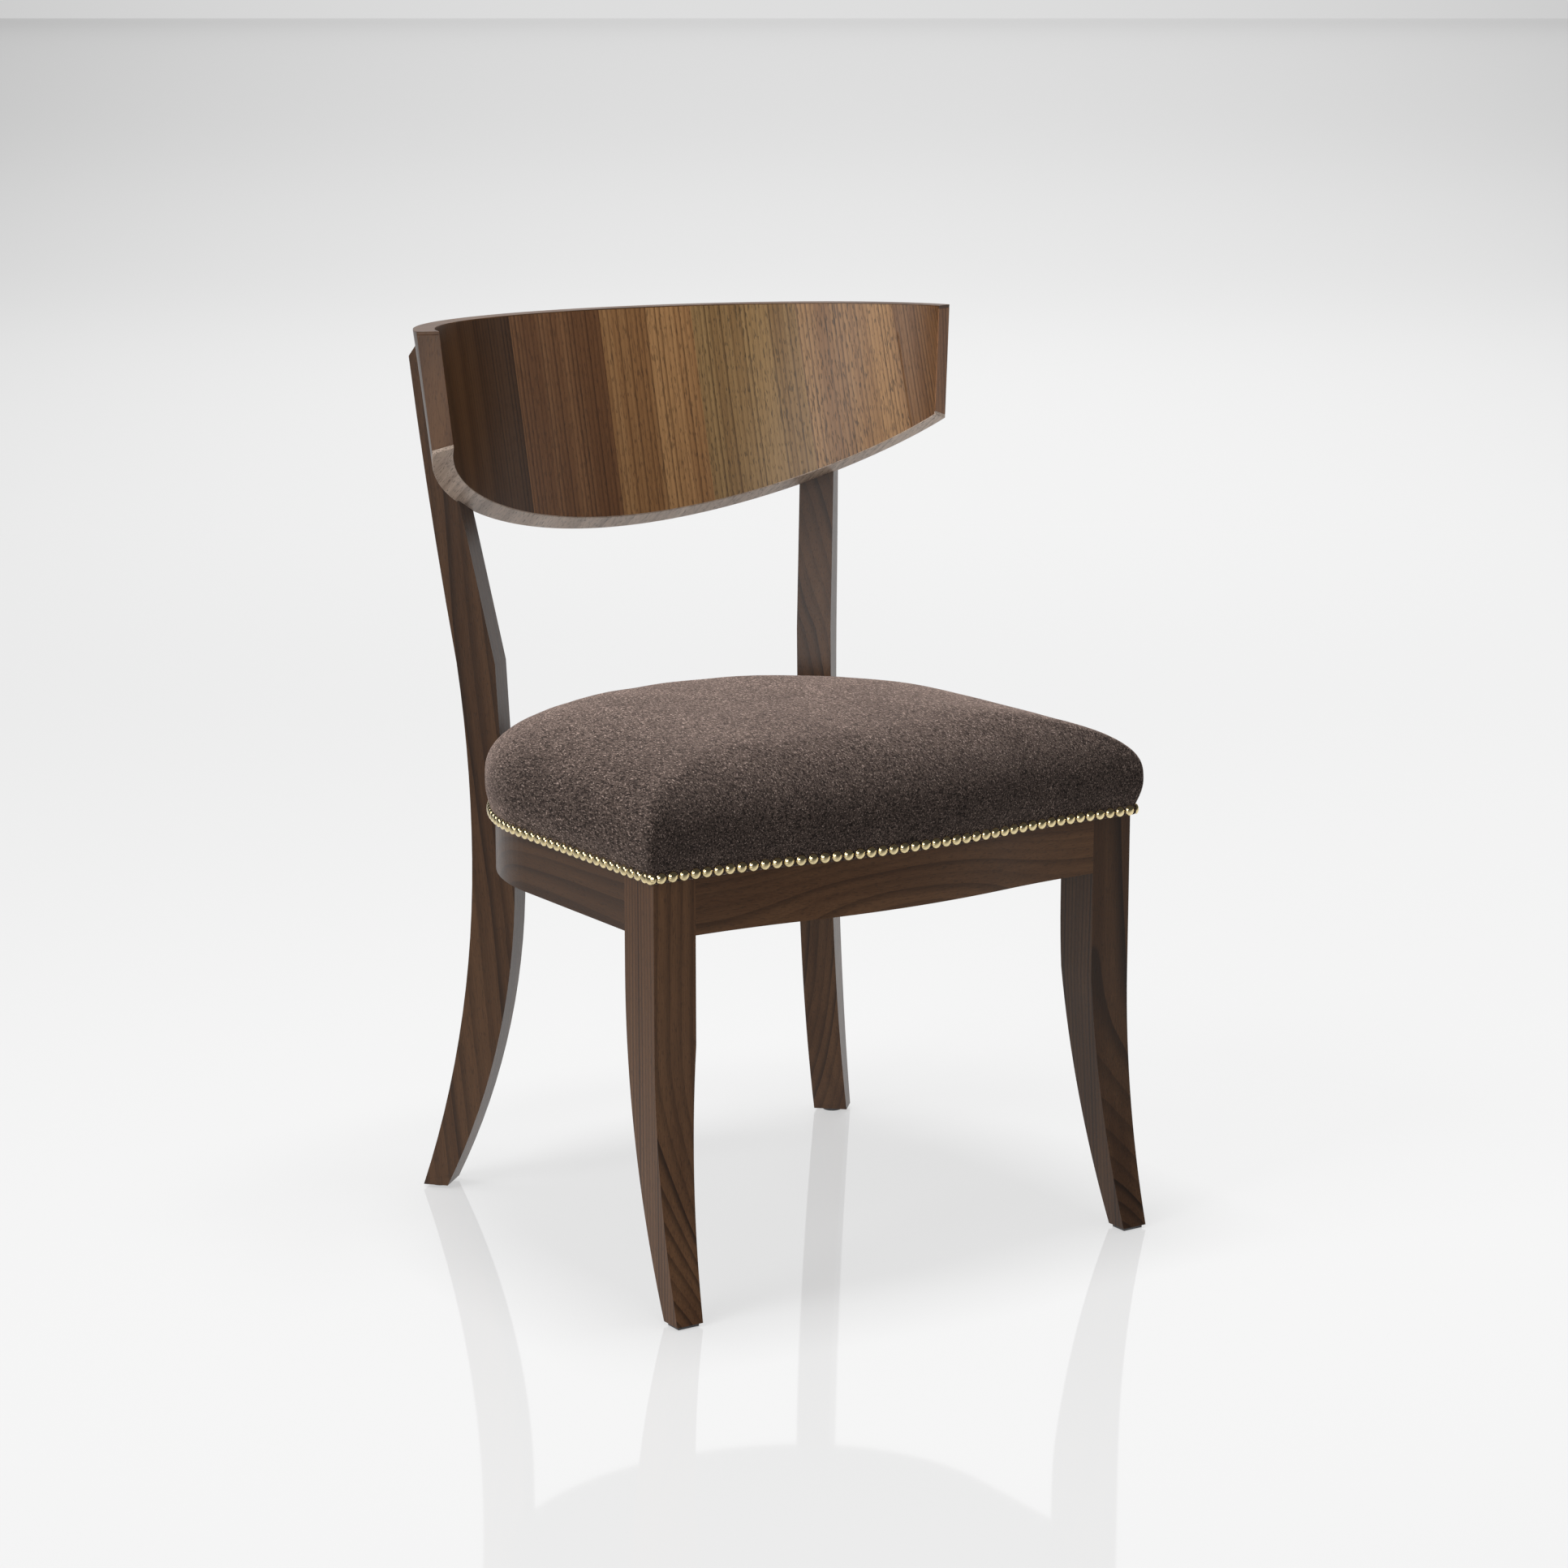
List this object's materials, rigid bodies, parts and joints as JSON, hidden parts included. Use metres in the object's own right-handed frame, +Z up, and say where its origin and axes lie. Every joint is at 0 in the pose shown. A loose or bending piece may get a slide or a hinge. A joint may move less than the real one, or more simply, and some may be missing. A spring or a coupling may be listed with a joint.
{
  "type": "klismos chair",
  "caption": "Klismos dining chair: wide curved wooden back on splayed sabre legs, domed upholstered seat edged with brass nails.",
  "frame": {"origin": "on the floor under the middle of the chair's overall box", "axes": "+Z up, front of the chair faces -Y, left of the chair as seen from the front is -X"},
  "size_m": [0.5836, 0.53, 0.83],
  "materials": {
    "walnut": "satin lacquer",
    "veneer": "satin lacquer",
    "plywood": "raw",
    "beech": "raw",
    "wool": "heathered wool",
    "foam": "open cell foam",
    "hessian": "plain weave",
    "webbing": "herringbone weave",
    "dust_cloth": "thin felt",
    "brass": "satin",
    "zinc_steel": "zinc plated",
    "glide": "matt"
  },
  "bodies": {
    "root": {"front_leg_left": "walnut", "front_leg_right": "walnut", "rear_leg_left": "walnut", "rear_leg_right": "walnut", "front_rail": "walnut", "side_rail_left": "walnut", "side_rail_right": "walnut", "rear_rail": "walnut", "rail_dowels": "beech", "corner_block_front_left": "beech", "corner_block_front_right": "beech", "corner_block_rear_left": "beech", "corner_block_rear_right": "beech", "corner_block_screws": "zinc_steel", "rear_leg_bolts": "zinc_steel", "rear_leg_washers": "zinc_steel", "back_core": "plywood", "back_front_veneer": "veneer", "back_rear_veneer": "veneer", "back_top_lipping": "walnut", "back_bottom_lipping": "walnut", "back_end_lipping_left": "walnut", "back_end_lipping_right": "walnut", "back_screws": "zinc_steel", "back_screw_plugs": "walnut", "webbing_side_to_side": "webbing", "webbing_front_to_back": "webbing", "hessian": "hessian", "seat_foam": "foam", "seat_cover": "wool", "nails_front": "brass", "nails_left": "brass", "nails_right": "brass", "nails_rear": "brass", "dust_cloth": "dust_cloth", "dust_cloth_staples": "zinc_steel", "glide_front_left": "glide", "glide_front_right": "glide", "glide_rear_left": "glide", "glide_rear_right": "glide", "glide_nails": "zinc_steel"}
  },
  "joints": []
}
